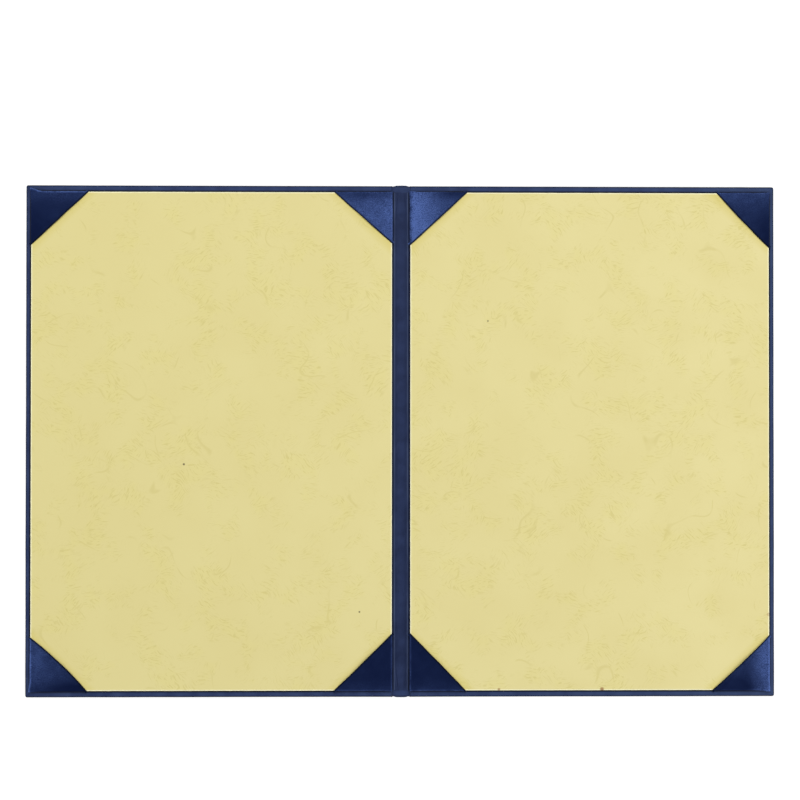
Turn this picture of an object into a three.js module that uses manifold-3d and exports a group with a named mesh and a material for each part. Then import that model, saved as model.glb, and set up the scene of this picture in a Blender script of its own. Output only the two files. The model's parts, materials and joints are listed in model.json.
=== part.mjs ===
// Diploma cover: an A4 certificate folder that lies open with its inside up.
// Two boards covered in leatherette hang on a soft spine. Each cover carries a cream grain sheet on
// a card liner, and a satin pocket is folded round each corner of the liner to hold a certificate.
// Millimetres, +Z up. The origin is the middle of the spine on the underside. +X points to the fore
// edge of the back cover and +Y to the head.

import * as THREE from 'three';
import { mergeVertices } from 'three/addons/utils/BufferGeometryUtils.js';
import Module from 'manifold-3d';

// Driving dimensions of the boards and the leatherette
const boardWidth = 220.4;
const boardHeight = 309;
const boardThickness = 1.8;
const boardEdgeRound = 0.2;
const boardCornerRound = 0.7;
const leatherThickness = 0.45;
const turnInWidth = 15;
const mitreSlit = 0.2;

// Driving dimensions of the spine: the fold lines lie at the two sides of its width
const spineWidth = 8.2;
const foldGap = 0.3;
const grooveWidth = 2.2;
const liningThickness = 0.35;
const liningWingWidth = 20;
const liningRampLength = 2;

// Driving dimensions of the liners
const cardThickness = 0.6;
const sheetThickness = 0.25;
const linerFoldMargin = 1.5;
const foreBorder = 3.3;
const endBorder = 4;

// Driving dimensions of the satin pockets
const satinThickness = 0.2;
const pocketLegAcross = 34;
const pocketLegDown = 32.5;
const pocketBow = 0.6;
const backFlapLeg = 24;

// Clearances
const glueFilm = 0.05;
const pocketSlack = 0.1;
const cutSpare = 1;

// Fineness of round stretches
const roundSteps = 4;
const bowSteps = 8;

// Heights of the layers, from the table up
const boardUnder = leatherThickness + glueFilm;
const boardOver = boardUnder + boardThickness;
const turnInUnder = boardOver + glueFilm;
const turnInOver = turnInUnder + leatherThickness;
const doubledLeather = 2 * leatherThickness + glueFilm;
const wingTop = turnInOver + glueFilm + liningThickness;
const flapUnder = wingTop + glueFilm;
const flapOver = flapUnder + satinThickness;
const cardUnder = flapOver + glueFilm;
const cardOver = cardUnder + cardThickness;
const sheetUnder = cardOver + glueFilm;
const sheetOver = sheetUnder + sheetThickness;
const satinUnder = sheetOver + pocketSlack;
const satinOver = satinUnder + satinThickness;

// Places across the cover, from the middle of the spine to the fore edge
const foldLine = spineWidth / 2;
const spineEdge = foldLine - foldGap / 2;
const coverEdge = foldLine + foldGap / 2;
const boardInner = foldLine + grooveWidth;
const boardOuter = boardInner + boardWidth;
const leatherWrap = leatherThickness + glueFilm;
const leatherInner = boardInner - leatherWrap;
const leatherOuter = boardOuter + leatherWrap;
const windowOuter = leatherOuter - turnInWidth;
const linerInner = foldLine + linerFoldMargin;
const linerOuter = leatherOuter - foreBorder;

// Places from the middle to the head
const boardHalfHeight = boardHeight / 2;
const halfHeight = boardHalfHeight + leatherWrap;
const windowHalfHeight = halfHeight - turnInWidth;
const linerHalfHeight = halfHeight - endBorder;
const rampFoot = windowHalfHeight - glueFilm - liningRampLength;
const rampHead = windowHalfHeight - glueFilm;

// Rounds that the leatherette takes from the board under it
const pocketEdgeRound = boardEdgeRound + glueFilm;
const leatherEdgeRound = pocketEdgeRound + leatherThickness;
const leatherCornerRound = boardCornerRound + leatherWrap;

const wasm = await Module();
wasm.setup();

// Materials
function material(colour, roughness) {
  return new THREE.MeshStandardMaterial({ color: colour, roughness, metalness: 0 });
}

const leatherette = () => material('#31405f', 0.6);
const liningCloth = () => material('#2c3956', 0.7);
const greyboard = () => material('#8c857b', 0.95);
const whiteCard = () => material('#efe8cf', 0.9);
const creamPaper = () => material('#e5d998', 0.75);
const navySatin = () => material('#2a3d6d', 0.4);

// Joining and cutting
function toSolid(geometry) {
  const bare = geometry.clone();
  bare.deleteAttribute('normal');
  bare.deleteAttribute('uv');
  const merged = mergeVertices(bare, 1e-4);
  const vertProperties = new Float32Array(merged.attributes.position.array);
  const triVerts = new Uint32Array(merged.index.array);
  return new wasm.Manifold(new wasm.Mesh({ numProp: 3, vertProperties, triVerts }));
}

function toGeometry(solid) {
  const { vertProperties, triVerts } = solid.getMesh();
  const geometry = new THREE.BufferGeometry();
  geometry.setAttribute('position', new THREE.BufferAttribute(new Float32Array(vertProperties), 3));
  geometry.setIndex(new THREE.BufferAttribute(new Uint32Array(triVerts), 1));
  return geometry;
}

function cut(solid, tools) {
  return tools.reduce((rest, tool) => rest.subtract(toSolid(tool)), solid);
}

// A block between two limits on each axis, given as [from, to]
function block([x0, x1], [y0, y1], [z0, z1]) {
  const geometry = new THREE.BoxGeometry(x1 - x0, y1 - y0, z1 - z0);
  return geometry.translate((x0 + x1) / 2, (y0 + y1) / 2, (z0 + z1) / 2);
}

// An outline drawn in the plane of the cover, raised between two heights
function raised(shape, [z0, z1]) {
  const options = { depth: z1 - z0, bevelEnabled: false, curveSegments: bowSteps };
  return new THREE.ExtrudeGeometry(shape, options).translate(0, 0, z0);
}

// The same with its upper and lower edges rounded
function raisedRound(shape, [z0, z1], round) {
  const options = {
    depth: z1 - z0 - 2 * round,
    bevelSize: round,
    bevelOffset: -round,
    bevelThickness: round,
    bevelSegments: roundSteps,
    curveSegments: bowSteps,
  };
  return new THREE.ExtrudeGeometry(shape, options).translate(0, 0, z0 + round);
}

function roundedRectangle([x0, x1], [y0, y1], round) {
  const shape = new THREE.Shape();
  shape.moveTo(x0 + round, y0);
  shape.absarc(x1 - round, y0 + round, round, -Math.PI / 2, 0, false);
  shape.absarc(x1 - round, y1 - round, round, 0, Math.PI / 2, false);
  shape.absarc(x0 + round, y1 - round, round, Math.PI / 2, Math.PI, false);
  shape.absarc(x0 + round, y0 + round, round, Math.PI, 1.5 * Math.PI, false);
  return shape;
}

// A profile drawn along the height of the cover, pushed across it between two limits
function pushedAcross(shape, [x0, x1]) {
  const options = { depth: x1 - x0, bevelEnabled: false, curveSegments: bowSteps };
  const geometry = new THREE.ExtrudeGeometry(shape, options);
  const along = new THREE.Vector3(0, 1, 0);
  const up = new THREE.Vector3(0, 0, 1);
  const across = new THREE.Vector3(1, 0, 0);
  const turned = new THREE.Matrix4().makeBasis(along, up, across);
  return geometry.applyMatrix4(turned).translate(x0, 0, 0);
}

// A closed skin through equal rings of points, with a flat cap on the first and last ring
function loft(rings) {
  const count = rings[0].length;
  const positions = rings.flat().flatMap((point) => point.toArray());
  const faces = [];
  for (let ring = 0; ring + 1 < rings.length; ring += 1) {
    for (let i = 0; i < count; i += 1) {
      const next = (i + 1) % count;
      const here = ring * count;
      const there = here + count;
      faces.push(here + i, there + i, there + next);
      faces.push(here + i, there + next, here + next);
    }
  }
  const outline = rings[0].map((point) => new THREE.Vector2(point.x, point.z));
  const last = (rings.length - 1) * count;
  for (const [a, b, c] of THREE.ShapeUtils.triangulateShape(outline, [])) {
    faces.push(a, b, c);
    faces.push(last + a, last + c, last + b);
  }
  const geometry = new THREE.BufferGeometry();
  geometry.setAttribute('position', new THREE.Float32BufferAttribute(positions, 3));
  geometry.setIndex(faces);
  return geometry;
}

// The front cover is the back cover in a mirror, with its faces turned out again
function mirrored(geometry) {
  const copy = geometry.index ? geometry.clone() : mergeVertices(geometry);
  copy.scale(-1, 1, 1);
  const index = copy.index;
  for (let i = 0; i < index.count; i += 3) {
    const second = index.getX(i + 1);
    index.setX(i + 1, index.getX(i + 2));
    index.setX(i + 2, second);
  }
  return copy;
}

// The board of a cover
function boardGeometry() {
  const across = [boardInner, boardOuter];
  const along = [-boardHalfHeight, boardHalfHeight];
  const outline = roundedRectangle(across, along, boardCornerRound);
  return raisedRound(outline, [boardUnder, boardOver], boardEdgeRound);
}

// Leatherette that lies bare in the middle and is folded back on itself at head and tail
function doubledStripShape() {
  const fold = doubledLeather / 2;
  const shape = new THREE.Shape();
  shape.moveTo(-halfHeight + fold, 0);
  shape.absarc(halfHeight - fold, fold, fold, -Math.PI / 2, Math.PI / 2, false);
  shape.lineTo(windowHalfHeight, doubledLeather);
  shape.lineTo(windowHalfHeight, leatherThickness);
  shape.lineTo(-windowHalfHeight, leatherThickness);
  shape.lineTo(-windowHalfHeight, doubledLeather);
  shape.absarc(-halfHeight + fold, fold, fold, Math.PI / 2, 1.5 * Math.PI, false);
  return shape;
}

// The slit where the turn-ins of two edges meet at 45 degrees, from the board's corner inwards
function mitre(towardsHead) {
  const reach = Math.SQRT2 * (turnInWidth + cutSpare);
  const slit = block(
    [-reach, 0],
    [-mitreSlit / 2, mitreSlit / 2],
    [turnInUnder - glueFilm, turnInOver + cutSpare],
  );
  slit.rotateZ((towardsHead * Math.PI) / 4);
  return slit.translate(boardOuter, towardsHead * boardHalfHeight, 0);
}

// The leatherette of a cover: its outside, its wrapped edges and its turn-ins
function skinGeometry() {
  const along = [-halfHeight, halfHeight];
  const outline = roundedRectangle([leatherInner, leatherOuter], along, leatherCornerRound);
  const wrapped = raisedRound(outline, [0, turnInOver], leatherEdgeRound);
  const groove = pushedAcross(doubledStripShape(), [coverEdge, boardInner + leatherCornerRound]);
  const hollow = roundedRectangle(
    [boardInner - glueFilm, boardOuter + glueFilm],
    [-boardHalfHeight - glueFilm, boardHalfHeight + glueFilm],
    boardCornerRound + glueFilm,
  );
  const window = block(
    [coverEdge - cutSpare, windowOuter],
    [-windowHalfHeight, windowHalfHeight],
    [leatherThickness, turnInOver + cutSpare],
  );
  return toGeometry(
    cut(toSolid(wrapped).add(toSolid(groove)), [
      raisedRound(hollow, [leatherThickness, turnInUnder], pocketEdgeRound),
      window,
      mitre(1),
      mitre(-1),
    ]),
  );
}

// The section of the lining where it runs from the fold line through the groove, up the wall of
// the board and over it. At head and tail it lies on the turn-in, and between them on the board.
function wingRing(y, onTurnIn) {
  const fromBoard = glueFilm + (onTurnIn ? leatherWrap : 0);
  const floor = leatherThickness + fromBoard;
  const wall = boardInner - fromBoard;
  const top = boardOver + fromBoard;
  const bend = boardEdgeRound + fromBoard;
  const end = boardInner + liningWingWidth;
  const under = [[coverEdge, floor], [wall, floor]];
  const over = [[coverEdge, floor + liningThickness], [wall - liningThickness, floor + liningThickness]];
  for (let i = 0; i <= roundSteps; i += 1) {
    const angle = (i / roundSteps) * (Math.PI / 2);
    const outwards = -Math.cos(angle);
    const upwards = Math.sin(angle);
    under.push([wall + bend + bend * outwards, top - bend + bend * upwards]);
    const wide = bend + liningThickness;
    over.push([wall + bend + wide * outwards, top - bend + wide * upwards]);
  }
  under.push([end, top]);
  over.push([end, top + liningThickness]);
  return [...under, ...over.reverse()].map(([x, z]) => new THREE.Vector3(x, y, z));
}

function wingGeometry() {
  return loft([
    wingRing(-linerHalfHeight, true),
    wingRing(-rampHead, true),
    wingRing(-rampFoot, false),
    wingRing(rampFoot, false),
    wingRing(rampHead, true),
    wingRing(linerHalfHeight, true),
  ]);
}

// The lining on the spine between the two fold lines
function spineLiningGeometry() {
  const low = leatherThickness + glueFilm;
  const high = doubledLeather + glueFilm;
  const under = [
    [-linerHalfHeight, high],
    [-rampHead, high],
    [-rampFoot, low],
    [rampFoot, low],
    [rampHead, high],
    [linerHalfHeight, high],
  ];
  const over = under.map(([y, z]) => [y, z + liningThickness]).reverse();
  const outline = [...under, ...over].map(([y, z]) => new THREE.Vector2(y, z));
  return pushedAcross(new THREE.Shape(outline), [-spineEdge, spineEdge]);
}

function spineSkinGeometry() {
  return pushedAcross(doubledStripShape(), [-spineEdge, spineEdge]);
}

// A layer of the liner: the card, or the grain sheet on it
function linerGeometry(heights) {
  return block([linerInner, linerOuter], [-linerHalfHeight, linerHalfHeight], heights);
}

// A satin pocket, folded in half along its open diagonal and wrapped round a corner of the liner.
// Distances into the liner run from its corner.
function pocketGeometry(cornerX, towardsFore, towardsHead) {
  const place = (inX, inY) => [
    cornerX - towardsFore * inX,
    towardsHead * (linerHalfHeight - inY),
  ];
  const wrap = pocketSlack + satinThickness;
  const middle = [(pocketLegAcross - wrap) / 2, (pocketLegDown - wrap) / 2];
  const outwards = new THREE.Vector2(pocketLegDown, pocketLegAcross).normalize();
  const pull = 2 * pocketBow;
  const outline = new THREE.Shape();
  outline.moveTo(...place(pocketLegAcross, -wrap));
  outline.quadraticCurveTo(
    ...place(middle[0] + outwards.x * pull, middle[1] + outwards.y * pull),
    ...place(-wrap, pocketLegDown),
  );
  outline.lineTo(...place(-wrap, 0));
  outline.quadraticCurveTo(...place(-wrap, -wrap), ...place(0, -wrap));
  const past = Math.max(pocketLegAcross, pocketLegDown) + cutSpare + pull;
  const inside = new THREE.Shape();
  inside.moveTo(...place(-pocketSlack, -pocketSlack));
  inside.lineTo(...place(past, -pocketSlack));
  inside.lineTo(...place(past, past));
  inside.lineTo(...place(-pocketSlack, past));
  const beyondFlap = new THREE.Shape();
  beyondFlap.moveTo(...place(backFlapLeg, -pocketSlack));
  beyondFlap.lineTo(...place(past, -pocketSlack));
  beyondFlap.lineTo(...place(past, past));
  beyondFlap.lineTo(...place(-pocketSlack, past));
  beyondFlap.lineTo(...place(-pocketSlack, backFlapLeg));
  return toGeometry(
    cut(toSolid(raisedRound(outline, [flapUnder, satinOver], satinThickness)), [
      raised(inside, [flapOver, satinUnder]),
      raised(beyondFlap, [flapUnder - cutSpare, flapOver + pocketSlack]),
    ]),
  );
}

// The whole cover
const cover = new THREE.Group();

function addPiece(name, geometry, finish) {
  const mesh = new THREE.Mesh(geometry, finish);
  mesh.name = name;
  cover.add(mesh);
}

const coverPieces = [
  ['skin', skinGeometry(), leatherette],
  ['board', boardGeometry(), greyboard],
  ['hinge_lining', wingGeometry(), liningCloth],
  ['liner_card', linerGeometry([cardUnder, cardOver]), whiteCard],
  ['grain_sheet', linerGeometry([sheetUnder, sheetOver]), creamPaper],
  ['pocket_head_fore', pocketGeometry(linerOuter, 1, 1), navySatin],
  ['pocket_head_spine', pocketGeometry(linerInner, -1, 1), navySatin],
  ['pocket_tail_fore', pocketGeometry(linerOuter, 1, -1), navySatin],
  ['pocket_tail_spine', pocketGeometry(linerInner, -1, -1), navySatin],
];

for (const [name, geometry, finish] of coverPieces) {
  addPiece(`back_cover_${name}`, geometry, finish());
  addPiece(`front_cover_${name}`, mirrored(geometry), finish());
}
addPiece('spine_skin', spineSkinGeometry(), leatherette());
addPiece('spine_lining', spineLiningGeometry(), liningCloth());

export default cover;
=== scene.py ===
import json
import math

import bmesh
import bpy
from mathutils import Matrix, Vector, noise


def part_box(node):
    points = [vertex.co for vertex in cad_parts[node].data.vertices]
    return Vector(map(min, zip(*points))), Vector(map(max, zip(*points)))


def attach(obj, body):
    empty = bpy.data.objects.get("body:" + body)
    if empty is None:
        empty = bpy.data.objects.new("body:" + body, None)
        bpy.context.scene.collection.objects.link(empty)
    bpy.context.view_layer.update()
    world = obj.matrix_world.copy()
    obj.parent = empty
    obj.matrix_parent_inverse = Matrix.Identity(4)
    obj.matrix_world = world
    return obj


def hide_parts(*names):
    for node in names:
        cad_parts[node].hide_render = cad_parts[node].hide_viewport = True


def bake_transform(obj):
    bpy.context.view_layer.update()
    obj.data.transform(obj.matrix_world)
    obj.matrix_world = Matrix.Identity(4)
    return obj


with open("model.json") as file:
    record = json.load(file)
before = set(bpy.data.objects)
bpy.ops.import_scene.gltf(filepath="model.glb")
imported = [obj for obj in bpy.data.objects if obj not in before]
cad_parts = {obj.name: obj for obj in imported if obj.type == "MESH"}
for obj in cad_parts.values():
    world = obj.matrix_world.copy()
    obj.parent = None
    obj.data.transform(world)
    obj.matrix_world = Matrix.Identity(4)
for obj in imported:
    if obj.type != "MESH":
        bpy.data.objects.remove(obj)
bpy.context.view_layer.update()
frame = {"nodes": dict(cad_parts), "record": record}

MM = 0.001
SIDES = {"front_cover": -1, "back_cover": 1}

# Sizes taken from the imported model
SKIN_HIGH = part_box("back_cover_skin")[1]
BOARD_LOW, BOARD_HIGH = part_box("back_cover_board")
SHEET_LOW, SHEET_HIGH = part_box("back_cover_grain_sheet")
CARD_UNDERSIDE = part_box("back_cover_liner_card")[0].z
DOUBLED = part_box("spine_skin")[1].z
FOLD_X = frame["record"]["behaviour"]["joints"][0]["pos_m"][0]

# Sizes of the folded leatherette that the boxes don't give
LEATHER = 0.45 * MM
LINING = 0.35 * MM
GLUE_FILM = 0.05 * MM
TURN_IN = 15 * MM
WRAP = SKIN_HIGH.x - BOARD_HIGH.x
WALL_X = BOARD_LOW.x - WRAP
OUTER_X = SKIN_HIGH.x
HALF_Y = SKIN_HIGH.y
COVER_TOP = SKIN_HIGH.z
WINDOW_X = OUTER_X - TURN_IN
WINDOW_Y = HALF_Y - TURN_IN
CORNER_ROUND = 1.2 * MM
TOP_ROUND = 0.7 * MM
LOW_ROUND = 0.46 * MM
BEND_REACH = 1.3 * MM
BEND_STEPS = 10
SPINE_BUMP = 0.6 * MM
EDGE_WOBBLE = 0.12 * MM
TOUCHING = 0.001 * MM

# Sizes of the satin pockets
SATIN = 0.2 * MM
SATIN_GAP = 0.1 * MM
HEM_ROLL = 0.22 * MM
FLAP = 9 * MM
FOLD_OUT = 1.15 * (SATIN + SATIN_GAP)
EAR_REACH = 9 * MM


# Selecting and shaping
def deselect():
    for thing in list(bpy.context.selected_objects):
        thing.select_set(False)


def named(name):
    piece = bpy.context.object
    piece.name = name
    piece.data.name = name
    return piece


def edit(piece, action):
    """Opens the piece in edit mode for one run of operators."""
    bpy.context.view_layer.objects.active = piece
    piece.select_set(True)
    bpy.ops.object.mode_set(mode="EDIT")
    action()
    bpy.ops.object.mode_set(mode="OBJECT")


def pick(kind, test):
    """Selects the open mesh's verts, edges or faces that pass the test, and says if any do."""
    bpy.ops.mesh.select_mode(type={"verts": "VERT", "edges": "EDGE", "faces": "FACE"}[kind])
    bpy.ops.mesh.select_all(action="DESELECT")
    mesh = bmesh.from_edit_mesh(bpy.context.object.data)
    mesh.normal_update()
    chosen = [part for part in getattr(mesh, kind) if test(part)]
    for part in chosen:
        part.select_set(True)
    bmesh.update_edit_mesh(bpy.context.object.data)
    return bool(chosen)


def middle(edge):
    return (edge.verts[0].co + edge.verts[1].co) / 2


def slice_at(place, normal, only=None):
    """Cuts the open mesh along a plane, everywhere or only through some faces."""
    if only is None:
        bpy.ops.mesh.select_all(action="SELECT")
    elif not pick("faces", only):
        return
    bpy.ops.mesh.bisect(plane_co=place, plane_no=normal)


def apply_modifiers(piece):
    deselect()
    bpy.context.view_layer.objects.active = piece
    piece.select_set(True)
    for modifier in list(piece.modifiers):
        bpy.ops.object.modifier_apply(modifier=modifier.name)


def smooth(piece, degrees):
    deselect()
    bpy.context.view_layer.objects.active = piece
    piece.select_set(True)
    bpy.ops.object.shade_smooth_by_angle(angle=math.radians(degrees))
    piece.select_set(False)


def thicken(piece, thickness, offset):
    wall = piece.modifiers.new("wall", "SOLIDIFY")
    wall.thickness = thickness
    wall.offset = offset
    wall.use_even_offset = False
    apply_modifiers(piece)


def block(name, low, high):
    """A cuboid between two corners, with its place in its mesh."""
    deselect()
    low, high = Vector(low), Vector(high)
    bpy.ops.mesh.primitive_cube_add(size=1, location=(low + high) / 2)
    piece = named(name)
    piece.scale = high - low
    bpy.ops.object.transform_apply(location=True, rotation=False, scale=True)
    return piece


def mirror_copy(piece, name):
    """A copy on the other side of the spine, with its faces turned out again."""
    deselect()
    copy = piece.copy()
    copy.data = piece.data.copy()
    copy.name = copy.data.name = name
    bpy.context.collection.objects.link(copy)
    for vertex in copy.data.vertices:
        vertex.co.x = -vertex.co.x
    copy.data.flip_normals()
    return copy


def paint(piece, material):
    piece.data.materials.clear()
    piece.data.materials.append(material)


def keep_places(piece):
    """Notes where each point lies while the cover is open, for the material."""
    laid = piece.data.attributes.new("laid_out", "FLOAT_VECTOR", "POINT")
    for vertex, value in zip(piece.data.vertices, laid.data):
        value.vector = vertex.co / MM


def ease(value, low, high):
    """0 below low, 1 above high and a smooth rise between them."""
    t = min(1, max(0, (value - low) / (high - low)))
    return t * t * (3 - 2 * t)


def hump(value, width):
    return math.exp(-((value / width) ** 2))


def wander(x, y, seed, size):
    """Smooth noise from about -1 to 1 with features of the given size."""
    return noise.noise(Vector((x / size, y / size, seed * 7.31)))


# Materials
class Nodes:
    """A short way to write a material's nodes: each call adds one and returns its output."""

    def __init__(self, name):
        self.material = bpy.data.materials.new(name)
        self.material.use_nodes = True
        self.tree = self.material.node_tree
        self.tree.nodes.clear()

    def new(self, kind, inputs=(), **settings):
        """A new node, its inputs set to values or linked to other nodes' outputs."""
        node = self.tree.nodes.new(kind)
        for key, value in settings.items():
            setattr(node, key, value)
        for key, value in dict(inputs).items():
            if isinstance(value, bpy.types.NodeSocket):
                self.tree.links.new(value, node.inputs[key])
            else:
                node.inputs[key].default_value = value
        return node

    def add(self, kind, inputs=(), output=0, **settings):
        return self.new(kind, inputs, **settings).outputs[output]

    def math(self, operation, first, second=0.0):
        return self.add("ShaderNodeMath", {0: first, 1: second}, operation=operation)

    def millimetres(self, turn=0.0):
        """Object coordinates in millimetres."""
        place = self.add("ShaderNodeTexCoord", output="Object")
        mapped = {"Vector": place, "Scale": (1000, 1000, 1000), "Rotation": (0, 0, turn)}
        return self.add("ShaderNodeMapping", mapped)

    def laid_out(self):
        """Where each point lies in millimetres while the cover is open, also when it is folded."""
        return self.add("ShaderNodeAttribute", output="Vector", attribute_name="laid_out")

    def noise(self, where, size, detail=2.0, output="Fac", distortion=0.0):
        inputs = {"Vector": where, "Scale": 1 / size, "Detail": detail, "Distortion": distortion}
        return self.add("ShaderNodeTexNoise", inputs, output)

    def between(self, value, low, high, to_low=0.0, to_high=1.0):
        inputs = {0: value, 1: low, 2: high, 3: to_low, 4: to_high}
        return self.add("ShaderNodeMapRange", inputs)

    def axis(self, where, name):
        return self.add("ShaderNodeSeparateXYZ", {0: where}, name)

    def mix(self, amount, first, second):
        """A colour between two others; the mix node's colour inputs are numbers 6 and 7."""
        node = self.new("ShaderNodeMix", data_type="RGBA")
        for key, value in ((0, amount), (6, first), (7, second)):
            if isinstance(value, bpy.types.NodeSocket):
                self.tree.links.new(value, node.inputs[key])
            else:
                node.inputs[key].default_value = value
        return node.outputs[2]

    def bump(self, height, depth, strength):
        inputs = {"Height": height, "Distance": depth, "Strength": strength}
        return self.add("ShaderNodeBump", inputs)

    def surface(self, shader):
        self.new("ShaderNodeOutputMaterial", {"Surface": shader})
        return self.material

    def finish(self, colour, roughness, normal, constants):
        inputs = {"Base Color": colour, "Roughness": roughness, "Normal": normal}
        return self.surface(self.add("ShaderNodeBsdfPrincipled", {**inputs, **constants}))


def tone(red, green, blue):
    """A colour written as it looks on a screen, 0 to 255, as the shader's linear colour."""

    def linear(value):
        value /= 255
        return value / 12.92 if value <= 0.04045 else ((value + 0.055) / 1.055) ** 2.4

    return (linear(red), linear(green), linear(blue), 1)


def painted_edge_shade(n, mm):
    """Painted shade: 1 where shade is painted beside the liner and along the cover's outer edge, and 0
    elsewhere. The outside of the cover lies lower than the painted shade reaches."""
    x = n.math("ABSOLUTE", n.axis(mm, "X"))
    y = n.math("ABSOLUTE", n.axis(mm, "Y"))
    z = n.axis(mm, "Z")
    low, high = SHEET_LOW.x / MM, SHEET_HIGH.x / MM
    beside = n.math("MAXIMUM", n.math("SUBTRACT", low, x), n.math("SUBTRACT", x, high))
    away = n.math("MAXIMUM", beside, n.math("SUBTRACT", y, SHEET_HIGH.y / MM))
    rim_x = n.math("SUBTRACT", OUTER_X / MM, x)
    rim_y = n.math("SUBTRACT", HALF_Y / MM, y)
    rim = n.math("MINIMUM", rim_x, rim_y)
    shade = n.math("MAXIMUM", n.between(away, 0.75, 1.35, 1, 0), n.between(rim, 0.3, 1.0, 0.8, 0))
    return n.math("MULTIPLY", shade, n.between(z, 0.5, 1.2))


def leatherette_material(name, base, worn, creased=0.0):
    n = Nodes(name)
    mm = n.laid_out()
    patches = n.noise(mm, 9, 3)
    pebbles = n.add(
        "ShaderNodeTexVoronoi",
        {"Vector": mm, "Scale": 1 / 0.75},
        feature="SMOOTH_F1",
    )
    specks = n.noise(mm, 0.55, 3)
    colour = n.mix(n.between(patches, 0.35, 0.7), base, worn)
    colour = n.mix(n.between(specks, 0.45, 0.75, 0, 0.35), colour, worn)
    if creased:
        x = n.math("ABSOLUTE", n.axis(mm, "X"))
        from_fold = n.math("ABSOLUTE", n.math("SUBTRACT", x, FOLD_X / MM - 0.1))
        line = n.between(from_fold, 0.1, 0.6, creased, 0)
        line = n.math("MULTIPLY", line, n.between(n.noise(mm, 30, 2), 0.35, 0.6, 0.3, 1))
        colour = n.mix(line, colour, tone(84, 98, 132))
    # Painted light: the back cover's leatherette grows lighter towards its fore edge, as if lit more
    # from that side.
    across = n.axis(mm, "X")
    colour = n.mix(n.between(across, 60, 230, 0, 0.35), colour, tone(60, 78, 114))
    # Painted shade: near-black mixed in beside the liner and along the cover's outer edge.
    colour = n.mix(n.math("MULTIPLY", painted_edge_shade(n, mm), 0.92), colour, tone(7, 10, 18))
    roughness = n.between(patches, 0.3, 0.7, 0.62, 0.74)
    height = n.math("ADD", n.math("MULTIPLY", pebbles, 0.7), n.math("MULTIPLY", specks, 0.6))
    normal = n.bump(height, 0.05 * MM, 0.7)
    return n.finish(colour, roughness, normal, {"Specular IOR Level": 0.2})


def satin_material(name, base, glint):
    """Satin is bright where its threads lie across the light and dark where they lie along it; here that
    light and dark is painted sheen, set pocket by pocket and mixed into the colour.
    """
    n = Nodes(name)
    mm = n.millimetres()
    weave = n.noise(mm, 0.55, 2)
    slubs = n.noise(n.millimetres(math.radians(45)), 3.5, 2)
    # Painted sheen: each pocket's stored light and dark, mixed from the dark base to the light glint
    # colour.
    catch = n.add("ShaderNodeAttribute", output="Fac", attribute_name="painted_sheen")
    sparkle = n.between(weave, 0.3, 0.72, 0.4, 1.75)
    streaks = n.between(slubs, 0.3, 0.7, 0.85, 1.15)
    shine = n.math("MULTIPLY", n.math("MULTIPLY", catch, sparkle), streaks)
    colour = n.mix(shine, base, glint)
    # Painted shade: the turned hem along the open edge is darkened almost to black.
    under = n.add("ShaderNodeAttribute", output="Fac", attribute_name="painted_hem_shade")
    colour = n.mix(under, colour, tone(8, 10, 18))
    roughness = n.between(slubs, 0.3, 0.7, 0.36, 0.46)
    normal = n.bump(weave, 0.05 * MM, 0.5)
    sheen = {
        "Specular IOR Level": 0.3,
        "Specular Tint": tone(120, 160, 255),
        "Anisotropic": 0.5,
    }
    return n.finish(colour, roughness, normal, sheen)


def painted_pocket_shadow(n, mm):
    """Painted shadow: 1 along the pockets' open edges, where the satin's shadow is painted on the sheet,
    and 0 from 5 mm away.
    """
    x = n.math("ABSOLUTE", n.axis(mm, "X"))
    y = n.math("ABSOLUTE", n.axis(mm, "Y"))
    from_side = n.math(
        "MINIMUM",
        n.math("SUBTRACT", x, SHEET_LOW.x / MM),
        n.math("SUBTRACT", SHEET_HIGH.x / MM, x),
    )
    from_end = n.math("SUBTRACT", SHEET_HIGH.y / MM, y)
    reach = n.math("ADD", n.math("DIVIDE", from_side, 34.6), n.math("DIVIDE", from_end, 33.2))
    return n.between(reach, 1.0, 1.2, 1, 0)


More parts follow.
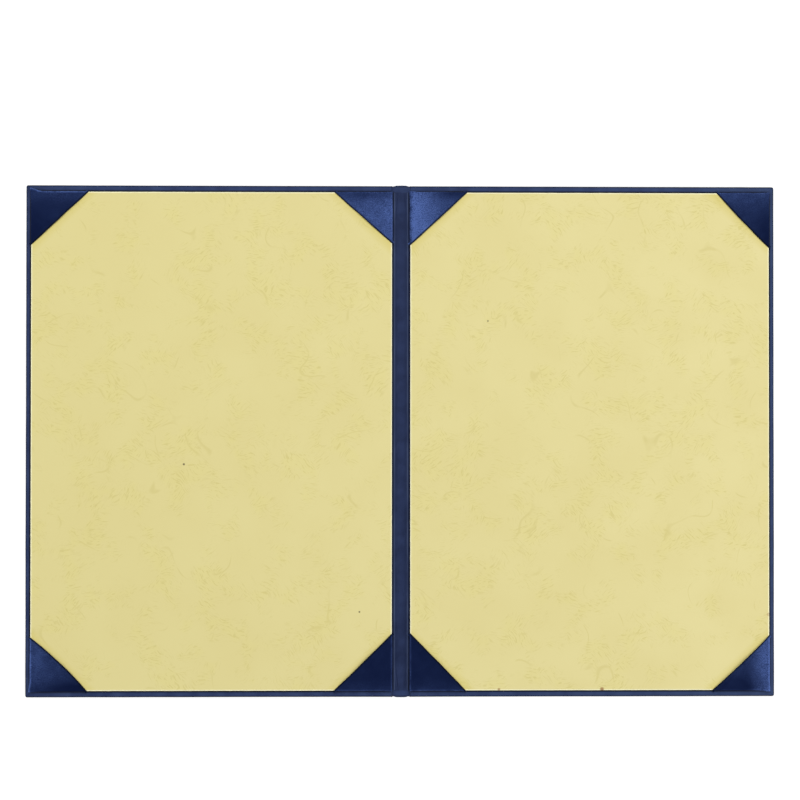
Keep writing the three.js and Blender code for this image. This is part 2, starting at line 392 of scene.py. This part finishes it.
def grain_paper_material(name, left, right):
    """Cream card embossed with a leather grain: patches of short parallel dashes and long creases."""
    n = Nodes(name)
    mm = n.millimetres()
    swirl = {0: n.noise(mm, 16, 2, "Color"), 1: (9, 9, 0)}
    drift = n.add("ShaderNodeVectorMath", swirl, operation="MULTIPLY")
    warped = n.add(
        "ShaderNodeVectorMath",
        {0: mm, 1: drift},
        operation="ADD",
    )
    cells = {"Vector": warped, "Scale": 1 / 11}
    centre = n.add("ShaderNodeTexVoronoi", cells, "Position")
    random = n.add("ShaderNodeTexVoronoi", cells, "Color")
    local = n.add("ShaderNodeVectorMath", {0: warped, 1: centre}, operation="SUBTRACT")
    lean = n.math("SUBTRACT", n.add("ShaderNodeSeparateColor", {0: random}), 0.5)
    angle = n.math("MULTIPLY", lean, 2.2)
    turned = n.add("ShaderNodeVectorRotate", {"Vector": local, "Angle": angle}, rotation_type="Z_AXIS")
    stretched = n.add("ShaderNodeVectorMath", {0: turned, 1: (0.24, 1.5, 1)}, operation="MULTIPLY")
    dashes = n.between(n.noise(stretched, 1, 2), 0.54, 0.64)
    clusters = n.between(n.noise(mm, 14, 2), 0.42, 0.6)
    dashes = n.math("MULTIPLY", dashes, clusters)
    rings = n.math("ABSOLUTE", n.math("SUBTRACT", n.noise(mm, 38, 1), 0.5))
    creases = n.between(rings, 0.002, 0.008, 0.8, 0)
    creases = n.math("MULTIPLY", creases, n.between(n.noise(mm, 13, 1), 0.52, 0.64))
    marks = n.math("MAXIMUM", dashes, creases)
    clusters = n.between(n.noise(mm, 14, 2), 0.5, 0.66, 0, 0.18)
    fibres = n.noise(mm, 0.8, 3)
    # Painted light: the sheets grow lighter from the left tone to the right tone.
    across = n.axis(mm, "X")
    colour = n.mix(n.between(across, -230, 230), left, right)
    colour = n.mix(n.between(n.noise(mm, 40, 2), 0.35, 0.65, 0, 0.35), colour, tone(221, 208, 141))
    colour = n.mix(clusters, colour, tone(224, 214, 128))
    # Painted shade: the grain's dashes and creases are darkened in colour as well as sunk by the bump.
    colour = n.mix(n.math("MULTIPLY", marks, 0.35), colour, tone(198, 184, 104))
    # Painted shadow: a darker, yellower band on the sheet beside the pockets' open edges.
    colour = n.mix(n.math("MULTIPLY", painted_pocket_shadow(n, mm), 0.5), colour, tone(212, 196, 98))
    # Painted highlight: a pale line along the sheet's edges.
    painted_edge_highlight = n.add("ShaderNodeAttribute", output="Fac", attribute_name="painted_edge_highlight")
    colour = n.mix(painted_edge_highlight, colour, tone(250, 245, 204))
    for speck in SPECKS:
        away = n.add("ShaderNodeVectorMath", {0: mm, 1: speck["place"]}, "Value", operation="DISTANCE")
        ring = n.between(away, speck["radius"] * 0.4, speck["radius"], speck["depth"], 0)
        colour = n.mix(ring, colour, speck["colour"])
    roughness = n.between(fibres, 0.3, 0.7, 0.58, 0.7)
    height = n.math("SUBTRACT", n.math("MULTIPLY", fibres, 0.12), marks)
    normal = n.bump(height, 0.05 * MM, 0.6)
    return n.finish(colour, roughness, normal, {"Specular IOR Level": 0.3})


def board_material(name, base, fleck):
    n = Nodes(name)
    mm = n.millimetres()
    pulp = n.noise(mm, 1.2, 4)
    colour = n.mix(n.between(pulp, 0.4, 0.7), base, fleck)
    roughness = n.between(pulp, 0.3, 0.7, 0.85, 0.95)
    return n.finish(colour, roughness, n.bump(pulp, 0.04 * MM, 0.5), {"Specular IOR Level": 0.5})


SHEET_TOP = SHEET_HIGH.z / MM
BROWN = tone(150, 96, 52)
DARK = tone(70, 60, 40)
SPECKS = [
    {"place": (-131.5, -14, SHEET_TOP), "radius": 0.85, "depth": 0.9, "colour": DARK},
    {"place": (-25.2, -103.4, SHEET_TOP), "radius": 0.7, "depth": 0.9, "colour": DARK},
    {"place": (52.7, 73, SHEET_TOP), "radius": 0.7, "depth": 0.7, "colour": DARK},
    {"place": (59.4, -150.4, SHEET_TOP), "radius": 1.1, "depth": 0.7, "colour": BROWN},
    {"place": (122, -150.4, SHEET_TOP), "radius": 1.6, "depth": 0.8, "colour": BROWN},
    {"place": (223.4, -105.2, SHEET_TOP), "radius": 1.3, "depth": 0.4, "colour": BROWN},
]

LEATHERETTE = leatherette_material("leatherette", tone(33, 48, 88), tone(50, 66, 106))
LINING_CLOTH = leatherette_material("lining_cloth", tone(26, 40, 76), tone(40, 54, 92), 0.6)
NAVY_SATIN = satin_material("navy_satin", tone(9, 17, 47), tone(80, 103, 165))
# The two tones are painted light: darker on the left and lighter on the right.
GRAIN_PAPER = grain_paper_material("cream_grain_paper", tone(224, 213, 148), tone(230, 219, 157))
WHITE_CARD = board_material("white_card", tone(240, 232, 206), tone(226, 214, 180))
GREYBOARD = board_material("greyboard", tone(142, 134, 122), tone(112, 104, 94))


# The leatherette
def in_window(face):
    """True for the faces that the turn-ins leave open: the top, the step and the strip's top."""
    centre, normal = face.calc_center_median(), face.normal
    if abs(centre.y) > WINDOW_Y:
        return False
    if normal.z > 0.9:
        return centre.z > LOW_ROUND and centre.x < WINDOW_X
    return normal.x < -0.9 and centre.z > DOUBLED


def shape_leather():
    """From a block to a sheet folded round the board, with a low strip to the spine's middle."""
    slice_at((0, 0, DOUBLED), (0, 0, 1))
    pick("faces", lambda f: f.normal.x < -0.9 and f.calc_center_median().z < DOUBLED)
    bpy.ops.mesh.extrude_region_move(TRANSFORM_OT_translate={"value": (-WALL_X, 0, 0)})
    for y in (-WINDOW_Y, WINDOW_Y):
        slice_at((0, y, 0), (0, 1, 0))
    slice_at((WINDOW_X, 0, 0), (1, 0, 0))

    def at_spine(face):
        return face.normal.x < -0.9 and face.calc_center_median().x < LOW_ROUND

    pick("faces", lambda f: in_window(f) or at_spine(f))
    bpy.ops.mesh.delete(type="FACE")
    pick(
        "edges",
        lambda e: all(v.co.x > OUTER_X - MM and abs(v.co.y) > HALF_Y - MM for v in e.verts)
        and abs(e.verts[0].co.z - e.verts[1].co.z) > LOW_ROUND,
    )
    bpy.ops.mesh.bevel(offset=CORNER_ROUND, segments=6, affect="EDGES", clamp_overlap=False)

    def sharp(edge):
        return len(edge.link_faces) == 2 and edge.calc_face_angle(0) > math.radians(40)

    def high(edge):
        upright = abs(edge.verts[0].co.z - edge.verts[1].co.z) > LOW_ROUND
        return middle(edge).z > COVER_TOP - LOW_ROUND or (upright and middle(edge).z > DOUBLED)

    pick("edges", lambda e: sharp(e) and high(e))
    bpy.ops.mesh.bevel(offset=TOP_ROUND, segments=5, affect="EDGES", clamp_overlap=False)
    pick("edges", lambda e: sharp(e) and not high(e))
    bpy.ops.mesh.bevel(offset=LOW_ROUND, segments=3, affect="EDGES", clamp_overlap=False)
    for step in range(BEND_STEPS + 1):
        x = FOLD_X - BEND_REACH + 2 * BEND_REACH * step / BEND_STEPS
        slice_at((x, 0, 0), (1, 0, 0))
    for step in range(1, 12):
        slice_at((OUTER_X * step / 12, 0, 0), (1, 0, 0))
    for step in range(-9, 10):
        slice_at((0, HALF_Y * step / 10, 0), (0, 1, 0))


def mitre_groove(towards_head):
    """Where two turn-ins meet at 45 degrees, a fine line runs in from the corner."""
    corner = Vector((OUTER_X, towards_head * HALF_Y, COVER_TOP))
    normal = Vector((1, -towards_head, 0)).normalized()

    def near(face):
        centre = face.calc_center_median()
        inside = centre.x > WINDOW_X and centre.y * towards_head > WINDOW_Y
        return inside and face.normal.z > 0.9

    def on_line(vertex):
        on_plane = abs((vertex.co - corner).dot(normal)) < TOUCHING
        return on_plane and vertex.co.z > COVER_TOP - TOP_ROUND / 9

    slice_at(corner, normal, near)
    pick("edges", lambda e: all(on_line(v) for v in e.verts))
    bpy.ops.mesh.bevel(offset=0.14 * MM, segments=2, affect="EDGES", clamp_overlap=False)
    pick("verts", on_line)
    bpy.ops.transform.translate(value=(0, 0, -0.16 * MM))


def hand_made(piece):
    """Small swells at the spine's ends, and edges that wander a little as folded edges do."""
    for vertex in piece.data.vertices:
        x, y = vertex.co.x, vertex.co.y
        end = ease(abs(y), WINDOW_Y, HALF_Y)
        swell = SPINE_BUMP * end * (1 - ease(x, FOLD_X * 0.55, FOLD_X * 1.25))
        wobble = EDGE_WOBBLE * end * wander(x, 0, 3 + math.copysign(1, y), 24 * MM)
        vertex.co.y += math.copysign(swell + wobble, y)
        fore = ease(x, WINDOW_X, OUTER_X)
        vertex.co.x += EDGE_WOBBLE * fore * wander(0, y, 9, 26 * MM)


def make_leather():
    back = block("back_leatherette", (WALL_X, -HALF_Y, 0), (OUTER_X, HALF_Y, COVER_TOP))
    edit(back, shape_leather)
    for towards_head in (1, -1):
        edit(back, lambda: mitre_groove(towards_head))
    thicken(back, LEATHER, -1)
    hand_made(back)
    smooth(back, 40)
    paint(back, LEATHERETTE)
    front = mirror_copy(back, "front_leatherette")
    keep_places(back)
    keep_places(front)
    return back, front


# The lining over the spine
def lining_point(along, y):
    """A point on the lining's underside, at a distance along its section from the spine's middle."""
    raised = ease(abs(y), WINDOW_Y - 2.2 * MM, WINDOW_Y - GLUE_FILM)
    lift = WRAP * raised
    floor = LEATHER + GLUE_FILM + lift
    wall = BOARD_LOW.x - GLUE_FILM - lift
    top = BOARD_HIGH.z + GLUE_FILM + lift
    inner, outer = 0.5 * MM, 0.3 * MM
    runs = [
        wall - inner,
        inner * math.pi / 2,
        top - floor - inner - outer,
        outer * math.pi / 2,
    ]
    if along < runs[0]:
        return Vector((along, y, floor))
    along -= runs[0]
    if along < runs[1]:
        angle = along / inner
        return Vector((wall - inner + inner * math.sin(angle), y, floor + inner * (1 - math.cos(angle))))
    along -= runs[1]
    if along < runs[2]:
        return Vector((wall, y, floor + inner + along))
    along -= runs[2]
    if along < runs[3]:
        angle = along / outer
        return Vector((wall + outer * (1 - math.cos(angle)), y, top - outer + outer * math.sin(angle)))
    return Vector((wall + outer + along - runs[3], y, top))


def make_lining():
    """A strip glued through the groove, with its creases where the covers fold."""
    deselect()
    columns, rows = 72, 160
    bpy.ops.mesh.primitive_grid_add(x_subdivisions=columns, y_subdivisions=rows, size=2)
    back = named("back_lining")
    length = 26 * MM
    for vertex in back.data.vertices:
        across = (vertex.co.x + 1) / 2
        y = vertex.co.y * SHEET_HIGH.y
        along = length * across ** 1.5
        point = lining_point(along, y)
        if along < WALL_X:
            ridge = 0.16 * hump(point.x - FOLD_X + 0.25 * MM * wander(0, y, 4, 30 * MM), 0.32 * MM)
            pillow = 0.1 * (1 - ease(point.x, 1.5 * MM, FOLD_X))
            pinch = 0.35 * hump(abs(y) - SHEET_HIGH.y + 6 * MM, 5 * MM)
            crease = pinch * hump(point.x - 1.9 * MM - 0.12 * (SHEET_HIGH.y - abs(y)), 0.35 * MM)
            point.z += (ridge + pillow - crease) * MM * 0.9 + 0.02 * MM
        vertex.co = point
    thicken(back, LINING, 1)
    smooth(back, 50)
    paint(back, LINING_CLOTH)
    front = mirror_copy(back, "front_lining")
    keep_places(back)
    keep_places(front)
    return back, front


# The grain sheets
def make_grain_sheet(cover):
    low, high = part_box(f"{cover}_grain_sheet")
    sheet = block(f"{cover}_cream_sheet", low, high)

    def shape():
        pick("edges", lambda e: middle(e).z > high.z - GLUE_FILM)
        bpy.ops.mesh.bevel(offset=0.1 * MM, segments=3, affect="EDGES", clamp_overlap=False)
        for inset in (0.35 * MM, 0.8 * MM):
            slice_at((low.x + inset, 0, 0), (1, 0, 0))
            slice_at((high.x - inset, 0, 0), (1, 0, 0))
            slice_at((0, low.y + inset, 0), (0, 1, 0))
            slice_at((0, high.y - inset, 0), (0, 1, 0))
        for step in range(1, 16):
            slice_at((low.x + (high.x - low.x) * step / 16, 0, 0), (1, 0, 0))
            slice_at((0, low.y + (high.y - low.y) * step / 16, 0), (0, 1, 0))

    edit(sheet, shape)
    # Painted highlight: 1 at the sheet's edges, fading to 0 within 0.8 mm, for the pale line painted
    # there.
    fade = sheet.data.attributes.new("painted_edge_highlight", "FLOAT", "POINT")
    for vertex, value in zip(sheet.data.vertices, fade.data):
        x, y = vertex.co.x, vertex.co.y
        inside = min(x - low.x, high.x - x, y - low.y, high.y - y)
        value.value = 1 - ease(inside, 0.3 * MM, 0.8 * MM)
    smooth(sheet, 40)
    paint(sheet, GRAIN_PAPER)
    return sheet


# The satin pockets. Legs are measured from the liner's corner and all lengths are in millimetres.
# "bow" is how far the open edge bulges out at its middle and "lift" how far it stands off the
# sheet. "ear" is how far the corner is pulled out past the head or tail and past the side.
# "even" is how much painted sheen the satin gets all over, "end" how much more along its head or tail
# fold and "side" along its fore or spine fold, each with the distance over which that fades.
# "line" is a narrow line along those two folds, a painted highlight where it is above 0 and painted
# shade below.
POCKETS = {
    "front_cover_pocket_head_fore": {
        "legs": (35.0, 32.6), "bow": 0.0, "ear": (2.0, 0.6), "lift": 0.5,
        "even": 0.02, "end": (0.1, 6), "side": (-0.02, 9), "line": (0.68, 0.0),
    },
    "front_cover_pocket_head_spine": {
        "legs": (35.3, 31.3), "bow": 0.0, "ear": (0.2, 0.1), "lift": 0.45,
        "even": 0.44, "end": (-0.3, 6), "side": (0.06, 10), "line": (0.1, 0.15),
    },
    "back_cover_pocket_head_spine": {
        "legs": (34.9, 32.3), "bow": 0.1, "ear": (0.6, 0.4), "lift": 0.4,
        "even": 0.22, "end": (-0.2, 5), "side": (0.66, 15), "line": (0.0, -0.8),
    },
    "back_cover_pocket_head_fore": {
        "legs": (32.1, 33.6), "bow": 0.5, "ear": (0.4, 0.4), "lift": 0.5,
        "even": 0.07, "end": (0.15, 8), "side": (-0.06, 9), "line": (0.15, 0.0),
    },
    "front_cover_pocket_tail_fore": {
        "legs": (34.4, 32.6), "bow": 1.3, "ear": (0.5, 0.9), "lift": 0.5,
        "even": 0.12, "end": (-0.16, 6), "side": (0.15, 13), "line": (0.0, 0.7),
    },
    "front_cover_pocket_tail_spine": {
        "legs": (35.5, 34.8), "bow": -0.2, "ear": (0.3, 0.1), "lift": 0.4,
        "even": 0.02, "end": (0.04, 5), "side": (0.0, 8), "line": (0.2, 0.2),
    },
    "back_cover_pocket_tail_spine": {
        "legs": (34.0, 35.0), "bow": 0.2, "ear": (0.2, 0.1), "lift": 0.4,
        "even": 0.02, "end": (0.04, 5), "side": (0.0, 8), "line": (0.2, 0.2),
    },
    "back_cover_pocket_tail_fore": {
        "legs": (35.2, 33.6), "bow": -0.6, "ear": (0.7, 0.4), "lift": 0.5,
        "even": 0.07, "end": (-0.14, 8), "side": (0.5, 9), "line": (0.15, 0.9),
    },
}
POCKET_STEPS = 40
WALL_ROUND = 0.55 * MM
PUFF = 0.15 * MM
FOLDS_END = 0.985
HEM_MOVES = ((-0.1, 0.45), (0.35, 0.4), (0.7, 0.15), (2.4, 0.02))


class Pocket:
    """The surface of one satin pocket, in distances (u, v) in from the liner's corner."""

    def __init__(self, node, seed, legs, bow, ear, lift, even, end, side, line):
        self.seed = seed
        self.even, self.end_glow, self.side_glow, self.line = even, end, side, line
        self.leg_u, self.leg_v = legs[0] * MM, legs[1] * MM
        self.bow, self.lift = bow * MM, lift * MM
        self.ear, self.side_ear = ear[0] * MM, ear[1] * MM
        self.cover = node.split("_pocket")[0]
        self.towards_fore = 1 if node.endswith("fore") else -1
        self.towards_head = 1 if "head" in node else -1
        corner_x = SHEET_HIGH.x if self.towards_fore > 0 else SHEET_LOW.x
        self.side = SIDES[self.cover]
        self.corner = Vector((corner_x, SHEET_HIGH.y))

    def world(self, u, v, z):
        x = self.side * (self.corner.x - self.towards_fore * u)
        return Vector((x, self.towards_head * (self.corner.y - v), z))

    def from_corner(self, place):
        """A place's distances in from the liner's corner."""
        u = self.towards_fore * (self.corner.x - self.side * place.x)
        return u, self.corner.y - self.towards_head * place.y

    def flap_point(self, place, z):
        """Where a point of the outer folds lies after the satin is turned in under the card."""
        u, v = self.from_corner(place)
        along, leg = (u, self.leg_u) if u > v else (v, self.leg_v)
        inwards = max(0, min(along, FLAP))
        along = max(0, min(max(along, FLAP), leg - FLAP))
        return self.world(along, inwards, z) if u > v else self.world(inwards, along, z)

    def catch(self, u, v):
        """How much painted sheen the satin gets at a place, standing in for the light it catches."""
        glow = self.even
        for distance, (amount, width) in ((v, self.end_glow), (u, self.side_glow)):
            glow += amount * hump(max(0, distance), width * MM)
        folds = ((v, u, self.line[0], self.ear), (u, v, self.line[1], self.side_ear))
        for distance, along, amount, ear in folds:
            fold = -ear * (1 - ease(along, 0, EAR_REACH)) ** 2
            width = 0.45 * MM if amount > 0 else 1.1 * MM
            patchy = 0.7 + 0.6 * wander(u, v, self.seed + 60, 4 * MM)
            glow += amount * patchy * hump(distance - fold - 0.1 * MM, width)
        glow *= 1 + 0.25 * wander(u * 1.4, v, self.seed + 40, 9 * MM)
        return max(0, glow)

    def under(self, u, v):
        """Painted shade: 1 on the turned hem of the open edge, and 0 further in."""
        across = 1 / math.hypot(1 / self.leg_u, 1 / self.leg_v)
        share = v / self.leg_v / max(0.05, u / self.leg_u + v / self.leg_v)
        bow = self.bow * 4 * share * (1 - share)
        inside = (1 - u / self.leg_u - v / self.leg_v) * across + bow
        return 0.96 * (1 - ease(inside, 0.7 * MM, 1.5 * MM))

    def diagonal(self, t):
        """The open edge, from the side along u (t = 0) to the side along v (t = 1)."""
        start, end = Vector((self.leg_u, -FOLD_OUT)), Vector((-FOLD_OUT, self.leg_v))
        across = Vector((self.leg_v, self.leg_u)).normalized()
        uneven = 0.25 * MM * wander(t * 4, 0, self.seed, 1) * math.sin(math.pi * t)
        return start.lerp(end, t) + across * (self.bow * 4 * t * (1 - t) + uneven)

    def edge(self, t, along_u):
        """An outer fold, from the corner (t = 0) to the open edge, with the ear at the corner."""
        leg = self.leg_u if along_u else self.leg_v
        distance = t * (leg + FOLD_OUT) - FOLD_OUT
        outwards, onwards = (self.ear, self.side_ear) if along_u else (self.side_ear, self.ear)
        spread = outwards * (1 - ease(distance, -FOLD_OUT, EAR_REACH)) ** 2
        spread += 0.14 * MM * math.sin(math.pi * t) * (1 + wander(t * 3, along_u, self.seed, 1))
        near = -FOLD_OUT - spread
        pull = onwards * (1 - ease(distance, -FOLD_OUT, 3 * MM))
        return Vector((distance - pull, near)) if along_u else Vector((near, distance - pull))

    def flat(self, p, q):
        """Coons patch over the pocket's outline."""
        def right(t):
            return self.diagonal(t / 2)

        def top(t):
            return self.diagonal(1 - t / 2)

        a, b, c, d = self.edge(p, True), top(p), self.edge(q, False), right(q)
        corners = (
            self.edge(0, True) * (1 - p) * (1 - q)
            + self.edge(1, True) * p * (1 - q)
            + self.edge(1, False) * (1 - p) * q
            + self.diagonal(0.5) * p * q
        )
        return a * (1 - q) + b * q + c * (1 - p) + d * p - corners

    def height(self, spot, to_fold, to_opening, t):
        """The top of the satin: rolled over the outer folds, lifted off the sheet at the opening."""
        base = SHEET_HIGH.z + SATIN_GAP + SATIN + 0.08 * MM
        lift = self.lift * math.sin(math.pi * min(1, max(0, t))) ** 0.7 * hump(to_opening, 9 * MM)
        puff = PUFF * ease(to_fold, 0, 8 * MM) * (0.7 + 0.6 * wander(spot.x, spot.y, self.seed, 12 * MM))
        along = spot.x * 0.6 - spot.y * 0.8
        folds = 0.07 * MM * wander(along * 3, (spot.x + spot.y) * 0.35, self.seed + 20, 9 * MM)
        pulled = 0.05 * MM * math.sin(to_opening / MM * 1.1 + self.seed) * hump(to_opening, 7 * MM)
        calm = ease(to_fold, 0, 4 * MM)
        roll = WALL_ROUND * (1 - math.sqrt(max(0, 1 - (1 - min(1, to_fold / WALL_ROUND)) ** 2)))
        return base + lift + puff + (folds + pulled) * calm - roll


def extrude_to(piece, target):
    """Extrudes the open mesh's selected edges and moves each new vertex to its target."""
    bpy.ops.mesh.extrude_edges_move()
    mesh = bmesh.from_edit_mesh(piece.data)
    for vertex in mesh.verts:
        if vertex.select:
            vertex.co = target(vertex.co)
    bmesh.update_edit_mesh(piece.data)


def spaced(step, count):
    """Places from 0 to 1 that lie closer together near both ends."""
    t = step / count
    return t + 0.13 * -math.sin(math.tau * t)


def lay_satin(piece, shape):
    """Moves a square grid's points onto the pocket's outline and up to the satin's top."""
    for vertex in piece.data.vertices:
        p = spaced(round((vertex.co.x + 1) / 2 * POCKET_STEPS), POCKET_STEPS)
        q = spaced(round((vertex.co.y + 1) / 2 * POCKET_STEPS), POCKET_STEPS)
        spot = shape.flat(p, q)
        to_fold = min((spot - shape.edge(p, True)).length, (spot - shape.edge(q, False)).length)
        t = q / 2 if p > q else 1 - p / 2
        to_opening = (spot - shape.diagonal(t)).length
        vertex.co = shape.world(spot.x, spot.y, shape.height(spot, to_fold, to_opening, t))
        vertex.co.z -= HEM_ROLL * (1 - ease(to_opening, 0, 0.6 * MM)) * 0.8


def border(shape, on_fold):
    """A test for the border edges on the outer folds, or for those on the open edge."""
    def test(edge):
        if len(edge.link_faces) != 1:
            return False
        u, v = shape.from_corner(middle(edge))
        folded = min(u, v) < 0 and u / shape.leg_u + v / shape.leg_v < FOLDS_END
        return folded == on_fold

    return test


def roll_hem(shape):
    """Rolls the open edge down and back in under the satin."""
    pick("edges", border(shape, False))
    inwards = Vector((shape.side * shape.towards_fore, shape.towards_head, 0)).normalized()
    for onwards, down in HEM_MOVES:
        move = inwards * onwards * 2 * HEM_ROLL - Vector((0, 0, down * 2 * HEM_ROLL))
        bpy.ops.mesh.extrude_edges_move(TRANSFORM_OT_translate={"value": move})


def wrap_sides(piece, shape):
    """Takes the outer folds down the liner's side in two steps, and in under the card as flaps."""
    foot = CARD_UNDERSIDE - GLUE_FILM - SATIN
    pick("edges", border(shape, True))
    for z in ((foot + SHEET_HIGH.z) / 2, foot):
        extrude_to(piece, lambda place: Vector((place.x, place.y, z)))
    extrude_to(piece, lambda place: shape.flap_point(place, foot))


def join_points():
    """Merges the points that meet and makes all faces look the same way."""
    bpy.ops.mesh.select_all(action="SELECT")
    bpy.ops.mesh.remove_doubles(threshold=0.002 * MM)
    bpy.ops.mesh.dissolve_degenerate(threshold=0.001 * MM)
    bpy.ops.mesh.normals_make_consistent(inside=False)


def face_up(piece):
    """Turns the faces over where those above the sheet look down."""
    above = [face for face in piece.data.polygons if face.center.z > SHEET_HIGH.z]
    if sum(face.normal.z * face.area for face in above) < 0:
        piece.data.flip_normals()


def store_tones(piece, shape):
    """Keeps on each point how much painted sheen it gets, and how much painted shade it gets on the
    turned hem.
    """
    catch = piece.data.attributes.new("painted_sheen", "FLOAT", "POINT")
    under = piece.data.attributes.new("painted_hem_shade", "FLOAT", "POINT")
    for vertex, light, hem in zip(piece.data.vertices, catch.data, under.data):
        light.value = shape.catch(*shape.from_corner(vertex.co))
        hem.value = shape.under(*shape.from_corner(vertex.co))


def make_pocket(node, seed, settings):
    """One layer of satin round a corner of the liner, with a rolled hem along its open edge."""
    shape = Pocket(node, seed, **settings)
    steps = POCKET_STEPS
    deselect()
    bpy.ops.mesh.primitive_grid_add(x_subdivisions=steps, y_subdivisions=steps, size=2)
    piece = named(node.replace("pocket", "satin"))
    lay_satin(piece, shape)
    edit(piece, lambda: roll_hem(shape))
    edit(piece, lambda: wrap_sides(piece, shape))
    edit(piece, join_points)
    face_up(piece)
    thicken(piece, SATIN, -1)
    smooth(piece, 60)
    store_tones(piece, shape)
    paint(piece, NAVY_SATIN)
    return piece


# Building and placing
back_leather, front_leather = make_leather()
back_lining, front_lining = make_lining()
for piece in (back_leather, back_lining):
    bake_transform(piece)
for piece in (front_leather, front_lining):
    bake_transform(piece)
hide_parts("back_cover_skin", "spine_skin")
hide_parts("front_cover_skin")
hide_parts("back_cover_hinge_lining", "spine_lining")
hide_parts("front_cover_hinge_lining")

for cover in SIDES:
    sheet = make_grain_sheet(cover)
    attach(sheet, cover)
    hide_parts(f"{cover}_grain_sheet")
    paint(frame["nodes"][f"{cover}_liner_card"], WHITE_CARD)
    paint(frame["nodes"][f"{cover}_board"], GREYBOARD)

for seed, (node, settings) in enumerate(POCKETS.items()):
    satin = make_pocket(node, seed, settings)
    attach(satin, node.split("_pocket")[0])
    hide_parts(node)


# The stage
def make_floor():
    deselect()
    bpy.ops.mesh.primitive_plane_add(size=8, location=(0, 0, -0.3 * MM))
    floor = named("floor")
    n = Nodes("studio_floor")
    lit = n.add("ShaderNodeBsdfDiffuse", {"Color": (0.5, 0.5, 0.5, 1)})
    glow = n.add("ShaderNodeEmission", {"Color": (1, 1, 1, 1), "Strength": 0.7})
    bright = n.add("ShaderNodeAddShader", {0: lit, 1: glow})
    path = n.new("ShaderNodeLightPath").outputs
    mixed = n.add("ShaderNodeMixShader", {0: path["Is Camera Ray"], 1: lit, 2: bright})
    paint(floor, n.surface(mixed))


def make_world(strength):
    world = bpy.data.worlds.new("studio")
    bpy.context.scene.world = world
    world.use_nodes = True
    tree = world.node_tree
    background = tree.nodes["Background"]
    background.inputs["Color"].default_value = (1, 1, 1, 1)
    path = tree.nodes.new("ShaderNodeLightPath").outputs
    level = tree.nodes.new("ShaderNodeMix")
    level.data_type = "FLOAT"
    tree.links.new(path["Is Camera Ray"], level.inputs[0])
    level.inputs[2].default_value = strength
    level.inputs[3].default_value = 1.0
    tree.links.new(level.outputs[0], background.inputs["Strength"])


def make_lamp(name, place, size, watts):
    """A softbox that faces the middle of the cover."""
    lamp = bpy.data.lights.new(name, "AREA")
    lamp.shape = "RECTANGLE"
    lamp.size, lamp.size_y = size
    lamp.energy = watts
    holder = bpy.data.objects.new(name, lamp)
    holder.location = place
    holder.rotation_euler = (-Vector(place)).to_track_quat("-Z", "Y").to_euler()
    bpy.context.collection.objects.link(holder)


# The camera's place in metres, its tilt in degrees and its lens in millimetres
CAMERA_PLACE = (-0.0298, 0.0083, 1.4)
CAMERA_TILT = (0.684, -1.196, 0.033)
CAMERA_LENS = 103.56


def make_camera():
    """Over the cover, tilted by about a degree as in the photograph."""
    camera = bpy.data.cameras.new("camera")
    camera.sensor_width = 36
    camera.lens = CAMERA_LENS
    camera.clip_start = 0.01
    holder = bpy.data.objects.new("camera", camera)
    holder.location = CAMERA_PLACE
    holder.rotation_euler = [math.radians(angle) for angle in CAMERA_TILT]
    bpy.context.collection.objects.link(holder)
    bpy.context.scene.camera = holder


make_floor()
make_world(0.25)
make_lamp("head_softbox", (0.0, 1.1, 1.5), (1.4, 0.7), 16.5)
make_lamp("right_softbox", (1.5, -0.7, 1.1), (0.8, 1.2), 18.5)
make_lamp("left_softbox", (-1.5, -0.2, 1.1), (0.8, 1.2), 10.5)
make_camera()
bpy.context.scene.view_settings.view_transform = "Standard"
